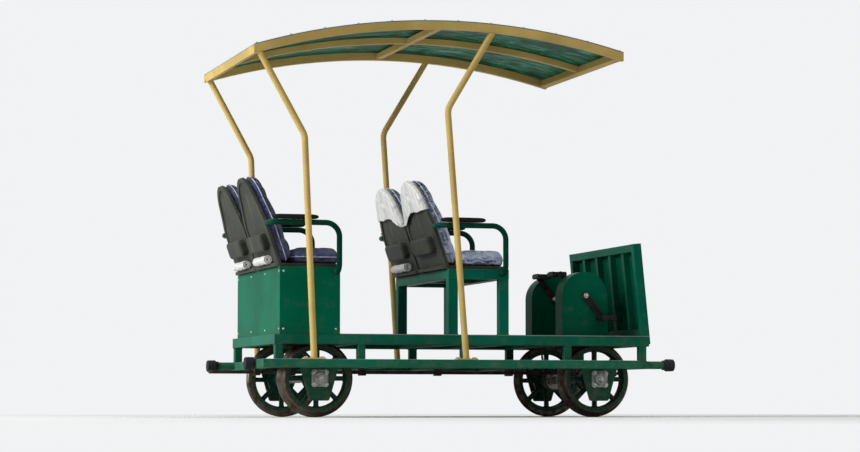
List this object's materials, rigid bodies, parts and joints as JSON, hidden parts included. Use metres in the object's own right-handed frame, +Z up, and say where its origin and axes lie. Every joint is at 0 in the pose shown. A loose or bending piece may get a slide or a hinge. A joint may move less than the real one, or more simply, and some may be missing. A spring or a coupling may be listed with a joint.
{
  "type": "pedal rail car",
  "caption": "Narrow-gauge pedal rail car: flanged spoked wheels, open deck, two pedal units, two rows of seats and an arched canopy on kinked posts.",
  "frame": {"origin": "on the floor, under the middle of the whole length and width", "axes": "+X forward, +Y to the left, +Z up"},
  "size_m": [2.3549, 1.34, 1.995],
  "materials": {
    "frame_paint": "dark green gloss paint, chipped and dusty",
    "panel_paint": "dark green sheet, smooth satin paint",
    "post_paint": "ochre yellow paint, faded",
    "canopy_sheet": "pale blue-grey coated sheet",
    "deck_metal": "ribbed aluminium plate, dull",
    "step_planks": "pale blue-grey grooved planks, worn",
    "wheel_paint": "dark green paint on cast iron, worn brown tread",
    "axle_steel": "machined steel",
    "bearing_metal": "grey cast housing",
    "black_metal": "black paint, scuffed",
    "chain_steel": "oily steel",
    "pedal_plastic": "ribbed black plastic",
    "buffer_rubber": "black rubber",
    "seat_cover": "dark blue-grey centre with light grey bolsters",
    "seat_shell": "dark grey moulded plastic",
    "arm_pad": "black foam grip",
    "locker_front": "dark panels",
    "fastener_zinc": "dull zinc-plated bolts and screws",
    "rolled_cover": "rolled white sheeting behind each seat"
  },
  "bodies": {
    "chassis": {"lower_frame": "frame_paint", "upper_frame": "frame_paint", "floor_deck": "deck_metal", "left_step_frame": "frame_paint", "right_step_frame": "frame_paint", "left_step_board": "step_planks", "right_step_board": "step_planks", "front_panel": "panel_paint", "front_panel_frame": "frame_paint", "axle_hangers": "frame_paint", "axle_bearings": "bearing_metal", "buffer_tubes": "frame_paint", "buffer_heads": "buffer_rubber", "front_drawbar": "black_metal", "rear_drawbar": "black_metal", "left_drive_housing": "panel_paint", "right_drive_housing": "panel_paint", "drive_chains": "chain_steel", "mid_seat_stand": "frame_paint", "rear_locker": "panel_paint", "locker_fronts": "locker_front", "mid_seat_shells": "seat_shell", "rear_seat_shells": "seat_shell", "mid_arm_loops": "frame_paint", "rear_arm_loops": "frame_paint", "arm_pads": "arm_pad", "canopy_frame": "post_paint", "canopy_sheet": "canopy_sheet", "mid_posts": "post_paint", "rear_posts": "post_paint", "mid_right_cushion": "seat_cover", "mid_right_back": "seat_cover", "mid_left_cushion": "seat_cover", "mid_left_back": "seat_cover", "rear_right_cushion": "seat_cover", "rear_right_back": "seat_cover", "rear_left_cushion": "seat_cover", "rear_left_back": "seat_cover"},
    "front_wheelset": {"front_axle": "axle_steel", "front_right_wheel": "wheel_paint", "front_left_wheel": "wheel_paint"},
    "rear_wheelset": {"rear_axle": "axle_steel", "rear_right_wheel": "wheel_paint", "rear_left_wheel": "wheel_paint"},
    "right_crankset": {"right_crankset": "black_metal"},
    "right_outer_pedal": {"right_outer_pedal": "pedal_plastic"},
    "right_inner_pedal": {"right_inner_pedal": "pedal_plastic"},
    "left_crankset": {"left_crankset": "black_metal"},
    "left_outer_pedal": {"left_outer_pedal": "pedal_plastic"},
    "left_inner_pedal": {"left_inner_pedal": "pedal_plastic"}
  },
  "joints": [
    {"name": "front_axle_turn", "type": "hinge", "parent": "chassis", "child": "front_wheelset", "pos_m": [0.7725, 0, 0.195], "axis": [0, 1, 0], "continuous": true},
    {"name": "rear_axle_turn", "type": "hinge", "parent": "chassis", "child": "rear_wheelset", "pos_m": [-0.7075, 0, 0.195], "axis": [0, 1, 0], "continuous": true},
    {"name": "right_crank_turn", "type": "hinge", "parent": "chassis", "child": "right_crankset", "pos_m": [0.7525, -0.25, 0.63], "axis": [0, 1, 0], "continuous": true},
    {"name": "right_outer_pedal_turn", "type": "hinge", "parent": "right_crankset", "child": "right_outer_pedal", "pos_m": [0.84485, -0.25, 0.5118], "axis": [0, 1, 0], "continuous": true},
    {"name": "right_inner_pedal_turn", "type": "hinge", "parent": "right_crankset", "child": "right_inner_pedal", "pos_m": [0.66015, -0.25, 0.7482], "axis": [0, 1, 0], "continuous": true},
    {"name": "left_crank_turn", "type": "hinge", "parent": "chassis", "child": "left_crankset", "pos_m": [0.7525, 0.25, 0.63], "axis": [0, 1, 0], "continuous": true},
    {"name": "left_outer_pedal_turn", "type": "hinge", "parent": "left_crankset", "child": "left_outer_pedal", "pos_m": [0.84485, 0.25, 0.5118], "axis": [0, 1, 0], "continuous": true},
    {"name": "left_inner_pedal_turn", "type": "hinge", "parent": "left_crankset", "child": "left_inner_pedal", "pos_m": [0.66015, 0.25, 0.7482], "axis": [0, 1, 0], "continuous": true}
  ]
}
